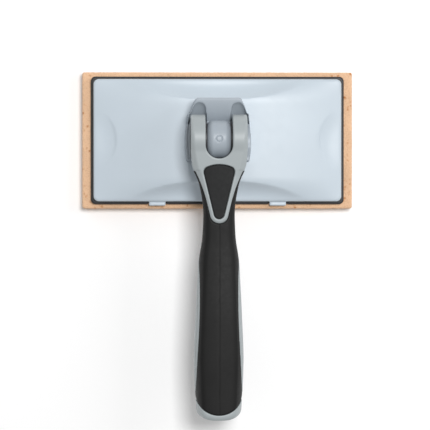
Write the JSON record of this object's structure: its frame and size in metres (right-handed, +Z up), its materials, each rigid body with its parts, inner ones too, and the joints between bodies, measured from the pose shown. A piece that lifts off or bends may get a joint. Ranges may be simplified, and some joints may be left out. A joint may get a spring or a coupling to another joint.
{
  "type": "stain pad applicator",
  "caption": "Flat foam pad applicator for staining decks and walls, with a handle that locks at several angles by a push button and takes an extension pole.",
  "frame": {"origin": "centre of the foam pad's flat working face", "axes": "+Z up from the working face, X along the pad and the hinge axis, the handle points to -Y at rest"},
  "size_m": [0.18, 0.2279, 0.061],
  "materials": {
    "foam": "open-cell foam with orange-brown specks",
    "carrier_black": "matte",
    "plate_grey": "satin moulded",
    "hinge_grey": "satin moulded",
    "fork_grey": "satin moulded",
    "inlay_charcoal": "matte soft",
    "grip_black": "satin soft",
    "core_grey": "matte",
    "button_black": "satin",
    "nylon": "dark nylon",
    "steel": "zinc plated",
    "socket_black": "matte"
  },
  "bodies": {
    "head": {"foam_pad": "foam", "pad_carrier": "carrier_black", "top_plate": "plate_grey", "hinge_base": "hinge_grey", "base_screws": "steel", "thrust_washer_left": "nylon", "thrust_washer_right": "nylon", "return_spring": "steel"},
    "handle": {"hinge_fork": "fork_grey", "fork_screws": "steel", "thumb_inlay": "inlay_charcoal", "grip_core": "core_grey", "grip_sleeve": "grip_black", "side_inlay_left": "fork_grey", "side_inlay_right": "fork_grey", "end_cap": "fork_grey", "pole_socket": "socket_black", "pivot_axle": "steel", "retaining_ring": "steel"},
    "button": {"lock_button": "button_black", "lock_dog": "nylon"}
  },
  "joints": [
    {"name": "handle_pivot", "type": "hinge", "parent": "head", "child": "handle", "pos_m": [0, 0, 0.045], "axis": [-1, 0, 0], "range_deg": [0, 120]},
    {"name": "button_press", "type": "slide", "parent": "head", "child": "button", "axis": [1, 0, 0], "range_m": [0, 0.0036], "stiffness_N_per_m": 500, "springref_m": -0.002, "deforming": ["return_spring"]}
  ]
}
